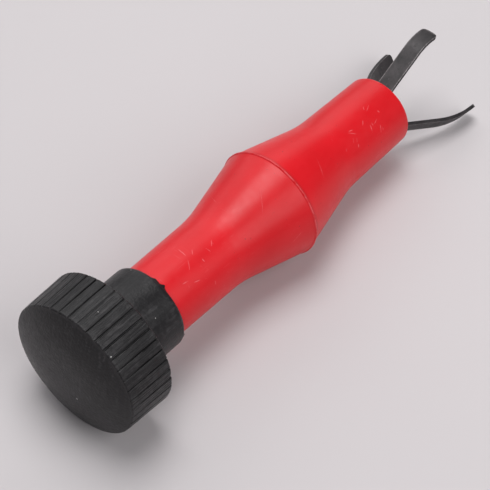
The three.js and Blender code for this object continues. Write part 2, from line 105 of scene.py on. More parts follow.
def roundedOutline(corners, stepAngle):
    # corners are (x, radius) or (x, radius, round)
    points = []
    for i, corner in enumerate(corners):
        here = Vector(corner[:2])
        if len(corner) < 3:
            points.append(here)
            continue
        back = (Vector(corners[i - 1][:2]) - here).normalized()
        ahead = (Vector(corners[(i + 1) % len(corners)][:2]) - here).normalized()
        half = math.acos(max(-1, min(1, back.dot(ahead)))) / 2
        centre = here + (back + ahead).normalized() * corner[2] / math.sin(half)
        start = here + back * corner[2] / math.tan(half) - centre
        end = here + ahead * corner[2] / math.tan(half) - centre
        turn = math.atan2(start.x * end.y - start.y * end.x, start.dot(end))
        steps = max(3, math.ceil(abs(turn) / stepAngle))
        for k in range(steps + 1):
            points.append(centre + Matrix.Rotation(turn * k / steps, 2) @ start)
    return points


def divided(points, longest, closed=True):
    # extra points on the long straight stretches, so that the surface can vary along them
    result = []
    following = points[1:] + points[:1] if closed else points[1:]
    for a, b in zip(points, following):
        steps = max(1, math.ceil((b - a).length / longest))
        result += [a.lerp(b, k / steps) for k in range(steps)]
    if not closed:
        result.append(points[-1])
    return result


def meshFrom(bm, name):
    mesh = bpy.data.meshes.new(name)
    bm.to_mesh(mesh)
    bm.free()
    return mesh


def linked(name, data):
    thing = bpy.data.objects.new(name, data)
    bpy.context.scene.collection.objects.link(thing)
    return thing


def latheMesh(name, outline, segments):
    bm = bmesh.new()
    rings = []
    for point in outline:
        angles = [2 * math.pi * k / segments for k in range(segments)]
        rings.append([bm.verts.new(onTool(point.x, point.y, angle)) for angle in angles])
    for i, ring in enumerate(rings):
        following = rings[(i + 1) % len(rings)]
        for k in range(segments):
            n = (k + 1) % segments
            bm.faces.new((ring[k], ring[n], following[n], following[k]))
    bmesh.ops.recalc_face_normals(bm, faces=bm.faces)
    return meshFrom(bm, name)


sharpAngle = math.radians(42)  # edges sharper than this keep a crease


def settle(mesh, name, body, slot, material, *stoodFor):
    # the finished mesh goes to its place on the tool and rides with its body
    mesh.transform(toolToRow)
    mesh.shade_smooth()
    mesh.set_sharp_from_angle(angle=sharpAngle)
    mesh.materials.clear()
    mesh.materials.append(material)
    piece = linked(name, mesh)
    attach(piece, body)
    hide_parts(*stoodFor)
    print("made", name, "with", len(mesh.polygons), "faces")


def plainMesh(holder, name):
    # what the modifiers make of the holder, as a mesh of its own
    graph = bpy.context.evaluated_depsgraph_get()
    mesh = bpy.data.meshes.new_from_object(holder.evaluated_get(graph), depsgraph=graph)
    mesh.name = name
    old = holder.data
    bpy.data.objects.remove(holder)
    bpy.data.meshes.remove(old)
    return mesh


def pointValues(mesh, name, values):
    attribute = mesh.attributes.new(name, "FLOAT", "POINT")
    attribute.data.foreach_set("value", values)


def startMaterial(name):
    material = bpy.data.materials.new(name)
    material.use_nodes = True
    tree = material.node_tree
    return material, tree, tree.nodes["Principled BSDF"]


def addNode(tree, kind, inputs=None, **settings):
    node = tree.nodes.new(kind)
    for key, value in settings.items():
        setattr(node, key, value)
    for key, value in (inputs or {}).items():
        if isinstance(value, bpy.types.NodeSocket):
            tree.links.new(value, node.inputs[key])
        else:
            node.inputs[key].default_value = value
    return node


def toolCoordinates(tree):
    # object coordinates turned into the tool's frame, in metres
    source = addNode(tree, "ShaderNodeTexCoord").outputs["Object"]
    return addNode(tree, "ShaderNodeMapping", {
        "Vector": source,
        "Location": toolMetres.to_translation(),
        "Rotation": toolMetres.to_euler(),
    }).outputs[0]


def noiseValue(tree, vector, scale, detail, roughness=0.5):
    return addNode(tree, "ShaderNodeTexNoise", {
        "Vector": vector, "Scale": scale, "Detail": detail, "Roughness": roughness,
    }).outputs["Fac"]


def streakValue(tree, vector, scales, detail=2, turn=(0, 0, 0)):
    # noise drawn out along the axis with the smallest of the three scales
    drawn = addNode(tree, "ShaderNodeMapping", {"Vector": vector, "Scale": scales, "Rotation": turn})
    return noiseValue(tree, drawn.outputs[0], 1.0, detail)


def ranged(tree, value, fromLow, fromHigh, toLow=0.0, toHigh=1.0):
    return addNode(tree, "ShaderNodeMapRange", {
        "Value": value, "From Min": fromLow, "From Max": fromHigh,
        "To Min": toLow, "To Max": toHigh,
    }).outputs[0]


def combine(tree, how, a, b):
    return addNode(tree, "ShaderNodeMath", {0: a, 1: b}, operation=how).outputs[0]


def product(tree, a, b):
    return combine(tree, "MULTIPLY", a, b)


def larger(tree, a, b):
    return combine(tree, "MAXIMUM", a, b)


def added(tree, a, b):
    return combine(tree, "ADD", a, b)


def feed(tree, shader, name, value):
    # what the nodes work out goes into one of the shader's sockets
    tree.links.new(value, shader.inputs[name])


def mixColours(tree, share, a, b):
    node = addNode(tree, "ShaderNodeMix", data_type="RGBA")
    for socket, value in ((node.inputs[0], share), (node.inputs[6], a), (node.inputs[7], b)):
        if isinstance(value, bpy.types.NodeSocket):
            tree.links.new(value, socket)
        else:
            socket.default_value = value if isinstance(value, float) else (*value, 1)
    return node.outputs[2]


def attributeValue(tree, name):
    return addNode(tree, "ShaderNodeAttribute", attribute_name=name).outputs["Fac"]


def bumped(tree, height, distance, strength, under=None):
    inputs = {"Height": height, "Distance": distance, "Strength": strength}
    if under is not None:
        inputs["Normal"] = under
    return addNode(tree, "ShaderNodeBump", inputs).outputs[0]


def markAmount(tree, vector, marks, depth=1.6):
    # each mark is a long thin spot on the surface: station, radius, angle, length, width, slant
    total = None
    for station, radius, angle, length, width, slant in marks:
        around = math.radians(angle)
        outward = onTool(0, 1, around)
        along = Matrix.Rotation(math.radians(slant), 3, outward) @ Vector((1, 0, 0))
        side = outward.cross(along)
        spot = addNode(tree, "ShaderNodeMapping", {
            "Vector": vector,
            "Location": onTool(station, radius, around) * mm,
            "Rotation": Matrix((along, side, outward)).transposed().to_euler(),
            "Scale": (length / 2 * mm, width / 2 * mm, depth * mm),
        }, vector_type="TEXTURE").outputs[0]
        distance = addNode(tree, "ShaderNodeVectorMath", {0: spot}, operation="LENGTH").outputs["Value"]
        amount = ranged(tree, distance, 0.6, 1.0, 1.0, 0.0)
        total = amount if total is None else larger(tree, total, amount)
    return total


redFinish = {
    "colour": (0.70, 0.008, 0.015),
    "deepColour": (0.61, 0.005, 0.010),
    "paleColour": (0.86, 0.22, 0.24),
    # dark red for the specks and for painted shade
    "dirtAndShadeColour": (0.20, 0.012, 0.014),
    "roughness": (0.31, 0.41), "scuffRoughness": 0.14, "specular": 0.32,
    "cloudScale": 70, "fineScale": 620, "grainScale": 2600, "speckScale": 1500, "swellScale": 260,
    "hairAlong": (180, 2600, 2600), "hairAcross": (1900, 160, 1900),
    "speckShare": 0.5, "hairShare": 0.18, "paleShare": 0.4,
    "swellDepth": 0.00006, "scuffDepth": 0.00005,
}

# marks on the red handle: station, radius, angle, length, width, slant
handleMarks = [
    (96.5, 9.6, 43, 2.6, 0.34, -106), (97.5, 9.5, 38, 0.9, 0.46, -95), (98.9, 9.5, 38, 2.0, 0.22, -158),
    (99.0, 9.5, 52, 2.3, 0.28, -115), (99.6, 9.5, 55, 1.1, 0.20, -111), (95.4, 9.6, 28, 1.6, 0.28, -137),
    (99.6, 9.5, 16, 2.5, 0.28, -155), (98.8, 9.5, 12, 1.3, 0.26, -127), (101.3, 9.5, 30, 0.8, 0.40, -72),
    (91.3, 9.6, 31, 3.5, 0.18, -42), (91.2, 9.7, 25, 1.5, 0.26, 163), (91.0, 9.7, 41, 1.3, 0.26, -124),
    (90.5, 9.7, 49, 1.0, 0.26, -122), (90.0, 9.7, 38, 1.5, 0.20, -126), (86.6, 9.7, 42, 0.9, 0.28, -119),
    (35.1, 9.5, 0, 3.2, 0.36, -96), (33.6, 9.5, 22, 3.8, 0.18, -126), (30.2, 9.4, 36, 2.0, 0.32, -9),
    (32.8, 9.5, 45, 1.9, 0.30, -16), (37.3, 9.5, 29, 1.2, 0.32, -89), (41.9, 9.5, 18, 1.9, 0.30, -136),
    (40.0, 9.5, 22, 1.6, 0.20, -76), (36.8, 9.5, 10, 1.8, 0.22, -133), (37.0, 9.5, 65, 1.1, 0.26, -104),
    (30.4, 9.4, 42, 1.2, 0.24, -107), (57.5, 12.0, 22, 7.5, 0.14, 52), (76.0, 12.0, 36, 6.5, 0.16, 66),
    (61.0, 12.8, 80, 4.0, 0.2, 30), (82.0, 10.8, 84, 3.4, 0.24, 55), (60.0, 12.6, 190, 6.0, 0.3, 35),
    (84.0, 10.3, 230, 5.0, 0.3, 62), (40.0, 9.5, 260, 4.0, 0.25, 40), (98.0, 9.5, 150, 4.0, 0.3, 70),
    (74.0, 12.4, 300, 6.0, 0.22, 48), (52.0, 10.8, 330, 4.4, 0.2, 66),
]


def redPlastic():
    finish = redFinish
    material, tree, shader = startMaterial("red_plastic_scuffed")
    tool = toolCoordinates(tree)
    cloud = noiseValue(tree, tool, finish["cloudScale"], 3, 0.55)
    fine = noiseValue(tree, tool, finish["fineScale"], 3, 0.6)
    grain = noiseValue(tree, tool, finish["grainScale"], 2, 0.5)

    # faint hairlines in two directions, broken up by the cloud
    hairA = ranged(tree, streakValue(tree, tool, finish["hairAlong"], 2, (0, 0, 0.5)), 0.66, 0.72)
    hairB = ranged(tree, streakValue(tree, tool, finish["hairAcross"], 2, (0.5, 0, 0.3)), 0.67, 0.73)
    hair = product(tree, larger(tree, hairA, hairB), ranged(tree, cloud, 0.42, 0.62))
    marks = product(tree, markAmount(tree, tool, handleMarks), ranged(tree, fine, 0.36, 0.58))
    wear = product(tree, attributeValue(tree, "wear"), ranged(tree, fine, 0.38, 0.62))
    scuffs = larger(tree, marks, wear)

    shade = ranged(tree, cloud, 0.3, 0.7)
    base = mixColours(tree, shade, finish["deepColour"], finish["colour"])
    specks = noiseValue(tree, tool, finish["speckScale"], 1)
    specks = ranged(tree, specks, 0.76, 0.80, 0, finish["speckShare"])
    # the dark red goes on in dark specks, and as painted shade where the mesh carries it: beside the
    # collar, in the seam and inside
    dirt_and_painted_shade = larger(tree, specks, attributeValue(tree, "dirt_and_painted_shade"))
    base = mixColours(tree, dirt_and_painted_shade, base, finish["dirtAndShadeColour"])
    pale = larger(tree, scuffs, product(tree, hair, finish["hairShare"]))
    base = mixColours(tree, product(tree, pale, finish["paleShare"]), base, finish["paleColour"])
    feed(tree, shader, "Base Color", base)

    rough = ranged(tree, fine, 0.3, 0.7, *finish["roughness"])
    rough = added(tree, rough, product(tree, scuffs, finish["scuffRoughness"]))
    feed(tree, shader, "Roughness", rough)

    cuts = larger(tree, scuffs, product(tree, hair, 0.4))
    height = combine(tree, "SUBTRACT", product(tree, grain, 0.25), cuts)
    swell = noiseValue(tree, tool, finish["swellScale"], 2)
    skin = bumped(tree, swell, finish["swellDepth"], 0.6)
    feed(tree, shader, "Normal", bumped(tree, height, finish["scuffDepth"], 0.5, skin))
    shader.inputs["Specular IOR Level"].default_value = finish["specular"]
    return material


knobFinish = {
    "colour": (0.0125, 0.0115, 0.0125),
    "darkColour": (0.006, 0.005, 0.006),
    "dustColour": (0.066, 0.062, 0.065),
    "speckColour": (0.70, 0.68, 0.66),
    # near black painted shade for the grooves and the collar's flash
    "paintedShadeColour": (0.004, 0.004, 0.004),
    "roughness": (0.34, 0.50), "specular": 0.27,
    "cloudScale": 130, "fineScale": 900, "grainScale": 1900, "speckScale": 190.0,
    "streakAlong": (70, 1500, 1500), "streakAcross": (700, 1400, 120), "mouldLines": (28, 2300, 2300),
    "swellDepth": 0.00022, "lineDepth": 0.00011,
}

# white specks on the knob: station, radius, angle, length, width, slant
knobSpecks = [
    (-2.4, 6.0, 151, 0.42, 0.28, 0), (23.6, 10.65, -27, 0.3, 0.22, 20), (0.7, 17.4, 38, 0.36, 0.24, 0),
    (-1.2, 14.2, -96, 0.4, 0.3, 0), (5.6, 17.6, 8, 0.26, 0.18, 40), (18.2, 10.65, 44, 0.24, 0.18, 70),
    (20.5, 10.65, 200, 0.35, 0.25, 0), (4.0, 17.5, 160, 0.4, 0.3, 30),
]


def knobPlastic():
    finish = knobFinish
    material, tree, shader = startMaterial("black_knob_plastic")
    tool = toolCoordinates(tree)
    cloud = noiseValue(tree, tool, finish["cloudScale"], 4, 0.6)
    fine = noiseValue(tree, tool, finish["fineScale"], 3, 0.6)

    # dust lies in streaks, wear shows on the edges
    streakA = streakValue(tree, tool, finish["streakAlong"], 3)
    streakB = streakValue(tree, tool, finish["streakAcross"], 3, (0.2, 0, 0))
    streaks = ranged(tree, product(tree, streakA, streakB), 0.24, 0.42)
    dust = product(tree, streaks, ranged(tree, cloud, 0.36, 0.66, 0.08, 0.6))
    wear = product(tree, attributeValue(tree, "wear"), ranged(tree, fine, 0.34, 0.66, 0.1, 0.8))
    shade = ranged(tree, cloud, 0.35, 0.65)
    base = mixColours(tree, shade, finish["darkColour"], finish["colour"])
    base = mixColours(tree, larger(tree, dust, wear), base, finish["dustColour"])

    # a few white specks, strewn and placed
    cells = addNode(tree, "ShaderNodeTexVoronoi", {"Vector": tool, "Scale": finish["speckScale"]})
    near = ranged(tree, cells.outputs["Distance"], 0.03, 0.055, 1, 0)
    draw = addNode(tree, "ShaderNodeSeparateColor", {0: cells.outputs["Color"]}).outputs[0]
    strewn = product(tree, near, ranged(tree, draw, 0.93, 0.94))
    specks = larger(tree, strewn, markAmount(tree, tool, knobSpecks, 0.3))
    base = mixColours(tree, specks, base, finish["speckColour"])
    # painted shade in the grooves and on the collar's flash
    base = mixColours(tree, attributeValue(tree, "dirt_and_painted_shade"), base, finish["paintedShadeColour"])
    feed(tree, shader, "Base Color", base)

    rough = added(tree, fine, product(tree, dust, 0.5))
    feed(tree, shader, "Roughness", ranged(tree, rough, 0.3, 0.9, *finish["roughness"]))

    # thin lines along the ribs, left by the mould
    lines = ranged(tree, streakValue(tree, tool, finish["mouldLines"]), 0.42, 0.66)
    lines = product(tree, lines, attributeValue(tree, "ribbed"))
    grain = noiseValue(tree, tool, finish["grainScale"], 2)
    height = added(tree, product(tree, lines, 1.3), grain)
    skin = bumped(tree, cloud, finish["swellDepth"], 0.5)
    feed(tree, shader, "Normal", bumped(tree, height, finish["lineDepth"], 0.6, skin))
    shader.inputs["Specular IOR Level"].default_value = finish["specular"]
    return material


clawFinish = {
    "colour": (0.044, 0.038, 0.040),
    "darkColour": (0.018, 0.016, 0.017),
    # pale metal for worn edges, also standing in as painted highlights on the edges and the tip
    "edgeColour": (0.34, 0.31, 0.31),
    "roughness": (0.36, 0.54), "metallic": 0.4,
    "cloudScale": 240, "fineScale": 1600, "rollingLines": (150, 1500, 1500),
    "swellDepth": 0.00008, "textureDepth": 0.00002,
}


def blackenedSteel():
    finish = clawFinish
    material, tree, shader = startMaterial("blackened_spring_steel")
    tool = toolCoordinates(tree)
    cloud = noiseValue(tree, tool, finish["cloudScale"], 4, 0.6)
    fine = noiseValue(tree, tool, finish["fineScale"], 3, 0.6)
    drawn = streakValue(tree, tool, finish["rollingLines"], 3)
    shade = ranged(tree, cloud, 0.34, 0.66)
    base = mixColours(tree, shade, finish["darkColour"], finish["colour"])
    wear = product(tree, attributeValue(tree, "wear"), ranged(tree, fine, 0.35, 0.6, 0.15, 1))
    # worn edges and tip, pale also as painted highlights, with the rolling lines
    rubbedAndHighlit = larger(tree, wear, ranged(tree, drawn, 0.66, 0.8, 0, 0.35))
    feed(tree, shader, "Base Color", mixColours(tree, rubbedAndHighlit, base, finish["edgeColour"]))
    texture = added(tree, fine, drawn)
    feed(tree, shader, "Roughness", ranged(tree, texture, 0.7, 1.3, *finish["roughness"]))
    skin = bumped(tree, cloud, finish["swellDepth"], 0.5)
    feed(tree, shader, "Normal", bumped(tree, texture, finish["textureDepth"], 0.5, skin))
    shader.inputs["Metallic"].default_value = finish["metallic"]
    return material


metalFinish = {
    "ringScales": (5200, 60, 60), "ringDepth": 0.00002, "tarnishScale": 330, "tarnishShare": 0.7,
}


def turnedMetal(name, colour, markColour, roughness):
    # lathe-turned metal: fine rings about the tool's axis, a little tarnish
    material, tree, shader = startMaterial(name)
    tool = toolCoordinates(tree)
    rings = streakValue(tree, tool, metalFinish["ringScales"])
    cloud = noiseValue(tree, tool, metalFinish["tarnishScale"], 3, 0.6)
    tarnish = ranged(tree, cloud, 0.45, 0.75, 0, metalFinish["tarnishShare"])
    feed(tree, shader, "Base Color", mixColours(tree, tarnish, colour, markColour))
    rough = ranged(tree, rings, 0.3, 0.7, roughness - 0.07, roughness + 0.12)
    feed(tree, shader, "Roughness", rough)
    feed(tree, shader, "Normal", bumped(tree, rings, metalFinish["ringDepth"], 0.5))
    shader.inputs["Metallic"].default_value = 1.0
    return material


mouldedFinish = {"dustScale": 280, "dustShare": 0.5, "grainDepth": 0.00004}


def mouldedBlack(name, colour, dustColour, roughness, grainScale):
    material, tree, shader = startMaterial(name)
    tool = toolCoordinates(tree)
    cloud = noiseValue(tree, tool, mouldedFinish["dustScale"], 3, 0.6)
    grain = noiseValue(tree, tool, grainScale, 2)
    dust = ranged(tree, cloud, 0.45, 0.8, 0, mouldedFinish["dustShare"])
    feed(tree, shader, "Base Color", mixColours(tree, dust, colour, dustColour))
    rough = ranged(tree, grain, 0.3, 0.7, roughness - 0.08, roughness + 0.1)
    feed(tree, shader, "Roughness", rough)
    feed(tree, shader, "Normal", bumped(tree, grain, mouldedFinish["grainDepth"], 0.5))
    return material


redSkin = redPlastic()
knobSkin = knobPlastic()
clawSkin = blackenedSteel()
steelSkin = turnedMetal("turned_steel", (0.52, 0.52, 0.53), (0.30, 0.29, 0.28), 0.3)
brassSkin = turnedMetal("turned_brass", (0.60, 0.43, 0.17), (0.33, 0.22, 0.09), 0.32)
innerBlackSkin = mouldedBlack("moulded_black", (0.016, 0.016, 0.017), (0.05, 0.048, 0.046), 0.5, 1500)
rubberSkin = mouldedBlack("seal_rubber", (0.010, 0.010, 0.010), (0.03, 0.03, 0.03), 0.68, 2400)
print("finishes made")


handleShape = {
    "tailRadius": 9.3, "rearNeckRadius": 9.6, "rearNeckStation": 47.0, "rearConeRadius": 14.3,
    "frontShoulderRadius": 14.2, "frontNeckRadius": 9.75, "frontNeckStation": 86.0, "mouthRadius": 9.35,
    "mouthRound": 1.0, "neckRound": 28.0, "wall": 1.6, "lipLength": 0.45, "seamGap": 0.07,
    "spigotWall": 1.3, "spigotGap": 0.3, "bulkhead": 3.0, "sealStation": 4.0, "sealHalf": 0.6,
    "sealDepth": 0.9, "bushBore": 4.8, "waviness": 0.05, "segments": 216,
    "railCount": 3, "railWidth": 1.6, "railInner": 6.2, "railRun": 22.0, "railGap": 0.3, "railRound": 0.15,
    "outlineStep": 0.12, "longestEdge": 0.9,
}


def finishShell(mesh, shape, seed):
    # slow unevenness from moulding, where the surface is rubbed, and painted shade beside the knob's
    # collar, in the seam's groove and over the inside
    wearValues = []
    paintedShadeValues = []
    offset = Vector((seed, seed * 0.7, seed * 1.3))
    for vertex in mesh.vertices:
        p = vertex.co
        radius = math.hypot(p.y, p.z)
        outer = radius > shape["tailRadius"] - 0.4
        if outer:
            slow = noise.noise(p * 0.16 + offset) * 0.7 + noise.noise(p * 0.5 + offset) * 0.3
            inward = shape["waviness"] * (0.5 + 0.5 * slow)
            setRadius(p, radius, radius - inward)
        ridge = smooth(seamRadius - 0.28, seamRadius - 0.06, radius)
        mouthRim = smooth(mouthX - 0.75, mouthX - 0.3, p.x) * smooth(mouthX + 0.2, mouthX - 0.1, p.x)
        # painted shade on the red just in front of the knob's collar, and a lighter painted shade over
        # every inside surface
        atCollar = 0.5 * smooth(collarEndX + 0.9, collarEndX + 0.1, p.x) if outer else 0.3
        # painted shade in the groove where the two shells meet
        atSeam = smooth(0.35, 0.05, abs(p.x - seamX - 0.1)) * smooth(seamRadius, seamRadius - 0.3, radius)
        wearValues.append(max(ridge, 0.7 * mouthRim))
        paintedShadeValues.append(max(atCollar, 0.75 * atSeam))
    pointValues(mesh, "wear", wearValues)
    pointValues(mesh, "dirt_and_painted_shade", paintedShadeValues)


def shellMesh(name, corners, shape):
    outline = divided(roundedOutline(corners, shape["outlineStep"]), shape["longestEdge"])
    return latheMesh(name, outline, shape["segments"])


def rearSlope(shape):
    return (shape["rearConeRadius"] - shape["rearNeckRadius"]) / (seamX - shape["rearNeckStation"])


def rearShellMesh(shape):
    lipX = seamX - shape["lipLength"]
    sealX = tailX + shape["sealStation"]
    tail = shape["tailRadius"]
    corners = [
        (tailX, shape["bushBore"]),
        (tailX, tail, 0.5),
        (sealX - shape["sealHalf"], tail),
        (sealX - shape["sealHalf"], tail - shape["sealDepth"]),
        (sealX + shape["sealHalf"], tail - shape["sealDepth"]),
        (sealX + shape["sealHalf"], tail),
        (shape["rearNeckStation"], shape["rearNeckRadius"], shape["neckRound"]),
        (lipX, shape["rearConeRadius"] - rearSlope(shape) * shape["lipLength"], 0.3),
        (seamX - 0.2, seamRadius - 0.02, 0.14),
        (seamX, seamRadius - 0.02, 0.08),
        (seamX, shape["rearConeRadius"] - shape["wall"]),
        (shape["rearNeckStation"], shape["rearNeckRadius"] - shape["wall"], shape["neckRound"]),
        (tailX + shape["bulkhead"], tail - shape["wall"]),
        (tailX + shape["bulkhead"], shape["bushBore"]),
    ]
    return shellMesh("rearShell", corners, shape)


def frontShellMesh(shape):
    shoulderX = seamX + shape["seamGap"]
    bore = shape["mouthRadius"] - shape["wall"]
    seatRadius = shape["rearConeRadius"] - shape["wall"] - shape["spigotGap"]
    spigotRadius = seatRadius - rearSlope(shape) * (seamX - spigotX)
    corners = [
        (shoulderX, shape["frontShoulderRadius"], 0.22),
        (shape["frontNeckStation"], shape["frontNeckRadius"], shape["neckRound"]),
        (mouthX, shape["mouthRadius"], shape["mouthRound"]),
        (mouthX, bore, 0.18),
        (shape["frontNeckStation"], bore, shape["neckRound"] / 2),
        (shoulderX, seatRadius - shape["spigotWall"]),
        (spigotX, spigotRadius - shape["spigotWall"]),
        (spigotX, spigotRadius),
        (shoulderX, seatRadius),
    ]
    return shellMesh("frontShell", corners, shape)


def railBars(shape):
    # three straight rails inside the nose, which the carrier's keyways run on
    bm = bmesh.new()
    endX = bushX - shape["railGap"]
    outerRadius = shape["mouthRadius"] - shape["wall"] / 2
    for k in range(shape["railCount"]):
        turn = Matrix.Rotation((k + 0.5) * 2 * math.pi / shape["railCount"], 4, "X")
        middle = Vector((endX - shape["railRun"] / 2, 0, (shape["railInner"] + outerRadius) / 2))
        size = (shape["railRun"], shape["railWidth"], outerRadius - shape["railInner"])
        made = bmesh.ops.create_cube(bm, size=1.0)["verts"]
        bar = turn @ Matrix.Translation(middle) @ Matrix.Diagonal((*size, 1))
        bmesh.ops.transform(bm, matrix=bar, verts=made)
    bmesh.ops.bevel(bm, geom=bm.edges[:], offset=shape["railRound"], segments=2, affect="EDGES")
    return meshFrom(bm, "railBars")


def united(mesh, extra, name):
    holder = linked("unionHolder", mesh)
    addition = linked("unionAddition", extra)
    union = holder.modifiers.new("union", "BOOLEAN")
    union.operation = "UNION"
    union.solver = "EXACT"
    union.object = addition
    result = plainMesh(holder, name)
    bpy.data.objects.remove(addition)
    bpy.data.meshes.remove(extra)
    return result


rearMesh = rearShellMesh(handleShape)
finishShell(rearMesh, handleShape, 3.0)
settle(rearMesh, "handle_rear_shell", "handle", "red_plastic", redSkin, "rear_shell")

frontMesh = united(frontShellMesh(handleShape), railBars(handleShape), "frontShell")
finishShell(frontMesh, handleShape, 11.0)
settle(frontMesh, "handle_front_shell", "handle", "red_plastic", redSkin, "front_shell")

bushShape = {"round": 0.28, "segments": 160}


def noseBushMesh(shape):
    points = [rowToTool @ v.co for v in cadNodes["nose_bush"].data.vertices]
    bore = min(math.hypot(p.y, p.z) for p in points) + 0.02
    corners = [
        (bushX, bore, shape["round"] / 2), (bushX, bushRadius - 0.01, shape["round"] / 2),
        (bushEndX, bushRadius - 0.01, shape["round"] / 2), (bushEndX, bore, shape["round"]),
    ]
    return latheMesh("noseBush", divided(roundedOutline(corners, 0.3), 0.5), shape["segments"])


noseRing = noseBushMesh(bushShape)
settle(noseRing, "nose_lip_bush", "handle", "black_plastic", innerBlackSkin, "nose_bush")


knobShape = {
    "gripLength": 12.3, "faceRadius": 17.4, "backRadius": 17.82, "faceRound": 0.45, "backRound": 0.4,
    "domeFullness": 2.6, "domeSteps": 36, "ribs": 40,
    "grooveWidth": 0.44, "grooveDepth": 0.38, "edgeSoftness": 0.2, "shallowing": 0.55,
    "collarRadius": 10.65, "collarBore": 9.6, "collarRound": 0.95, "collarFillet": 1.3,
    "floorStation": 13.2, "pocketRadius": 6.45, "pocketStation": 3.25,
    "flashHeight": 0.8, "flashes": ((15, 14), (108, 9)), "unevenness": 0.05, "mergeDistance": 0.004,
}

# small damage on the knob: station, angle, size, depth
knobNicks = [
    (0.3, 214, 1.0, 0.55), (0.5, 20, 0.7, 0.22), (0.6, 61, 0.5, 0.2), (0.8, 118, 0.8, 0.25),
    (11.9, 84, 0.8, 0.3), (12.0, 33, 0.6, 0.25), (11.8, 262, 1.0, 0.35), (0.5, 300, 0.9, 0.3),
]


def knobOutline(shape):
    # the half section from the dome's middle round to the bottom of the insert's pocket,
    # each point with how much of the grooves' depth it gets
    edge = shape["faceRadius"] - shape["faceRound"]
    rise = -domeX
    dome = []
    for k in range(shape["domeSteps"] + 1):
        share = math.sin(k / shape["domeSteps"] * math.pi / 2)
        dome.append(Vector((-rise * (1 - share ** shape["domeFullness"]), edge * share)))
    rest = roundedOutline([
        dome[-1].to_tuple(),
        (0.06, shape["faceRadius"], shape["faceRound"]),
        (shape["gripLength"], shape["backRadius"], shape["backRound"]),
        (shape["gripLength"], shape["collarRadius"] + 0.05, shape["collarFillet"]),
        (collarEndX, shape["collarRadius"], shape["collarRound"]),
        (collarEndX, shape["collarBore"]),
        (shape["floorStation"], shape["collarBore"], 0.4),
        (shape["floorStation"], shape["pocketRadius"]),
        (shape["pocketStation"], shape["pocketRadius"]),
        (shape["pocketStation"], 0.0),
    ], 0.2)
    points = dome[:-1] + divided(rest, 0.6, closed=False)
    result = []
    for point in points:
        share = smooth(edge + 0.05, shape["faceRadius"] - 0.1, point.y) * smooth(-0.05, 0.35, point.x)
        share *= smooth(shape["gripLength"] + 0.05, shape["gripLength"] - 0.02, point.x)
        result.append((point, share if point.x < shape["gripLength"] + 0.1 else 0.0))
    return result


def knobSliceMesh(shape):
    # one rib's slice of the knob, with half a groove on each side
    pitch = 2 * math.pi / shape["ribs"]
    groove = shape["grooveWidth"] / shape["faceRadius"]
    soft = shape["edgeSoftness"] / shape["faceRadius"]
    half = pitch / 2
    wallAngle = half - groove / 2
    # angle from the rib's middle, share of the groove's depth
    positive = [
        (0.0, 0.0), (wallAngle * 0.45, 0.0), (wallAngle - soft, 0.0), (wallAngle - soft * 0.35, 0.07),
        (wallAngle + groove * 0.06, 0.38), (wallAngle + groove * 0.16, 0.8),
        (wallAngle + groove * 0.28, 1.0), (half, 1.0),
    ]
    columns = [(-angle, depth) for angle, depth in reversed(positive[1:])] + positive
    outline = knobOutline(shape)
    bm = bmesh.new()
    rows = []
    for point, share in outline:
        if point.y < 1e-5:
            rows.append([bm.verts.new((point.x, 0, 0))] * len(columns))
            continue
        row = []
        for angle, depth in columns:
            # a rib's top is flat, so its middle lies a little inside its corners
            flat = math.cos(min(abs(angle), wallAngle) - wallAngle) if share > 0 else 1
            radius = point.y * (1 - (1 - flat) * share) - shape["grooveDepth"] * depth * share
            row.append(bm.verts.new(onTool(point.x, radius, angle)))
        rows.append(row)
    for low, high in zip(rows, rows[1:]):
        for k in range(len(columns) - 1):
            # at the axis two of the corners are the same point
            bm.faces.new(list(dict.fromkeys((low[k], low[k + 1], high[k + 1], high[k]))))
    return meshFrom(bm, "knobSlice")


def aroundTree(name):
    # repeats what it is given about X, joins the copies and gives them their material
    tree = bpy.data.node_groups.new(name, "GeometryNodeTree")
    face = tree.interface
    face.new_socket("Geometry", in_out="INPUT", socket_type="NodeSocketGeometry")
    face.new_socket("Count", in_out="INPUT", socket_type="NodeSocketInt")
    face.new_socket("Merge Distance", in_out="INPUT", socket_type="NodeSocketFloat")
    face.new_socket("Material", in_out="INPUT", socket_type="NodeSocketMaterial")
    face.new_socket("Geometry", in_out="OUTPUT", socket_type="NodeSocketGeometry")
    given = tree.nodes.new("NodeGroupInput")
    result = tree.nodes.new("NodeGroupOutput")
    points = addNode(tree, "GeometryNodePoints", {"Count": given.outputs["Count"]})
    index = addNode(tree, "GeometryNodeInputIndex")
    pitch = combine(tree, "DIVIDE", 2 * math.pi, given.outputs["Count"])
    turn = addNode(tree, "ShaderNodeCombineXYZ", {"X": product(tree, index.outputs[0], pitch)})
    copies = addNode(tree, "GeometryNodeInstanceOnPoints", {
        "Points": points.outputs[0], "Instance": given.outputs["Geometry"], "Rotation": turn.outputs[0],
    })
    real = addNode(tree, "GeometryNodeRealizeInstances", {0: copies.outputs[0]})
    merged = addNode(tree, "GeometryNodeMergeByDistance", {
        0: real.outputs[0], "Distance": given.outputs["Merge Distance"],
    })
    dressed = addNode(tree, "GeometryNodeSetMaterial", {
        0: merged.outputs[0], "Material": given.outputs["Material"],
    })
    tree.links.new(dressed.outputs[0], result.inputs[0])
    return tree


def setTreeInput(modifier, label, value):
    for item in modifier.node_group.interface.items_tree:
        if item.in_out == "INPUT" and item.name == label:
            modifier[item.identifier] = value


repeatTree = aroundTree("repeatAroundTool")


def repeated(mesh, name, count, mergeDistance, material):
    holder = linked("repeatHolder", mesh)
    modifier = holder.modifiers.new("around", "NODES")
    modifier.node_group = repeatTree
    setTreeInput(modifier, "Count", count)
    setTreeInput(modifier, "Merge Distance", mergeDistance)
    setTreeInput(modifier, "Material", material)
    return plainMesh(holder, name)


def flashShare(shape, degrees):
    return max(smooth(width, width * 0.4, abs(degrees - middle)) for middle, width in shape["flashes"])


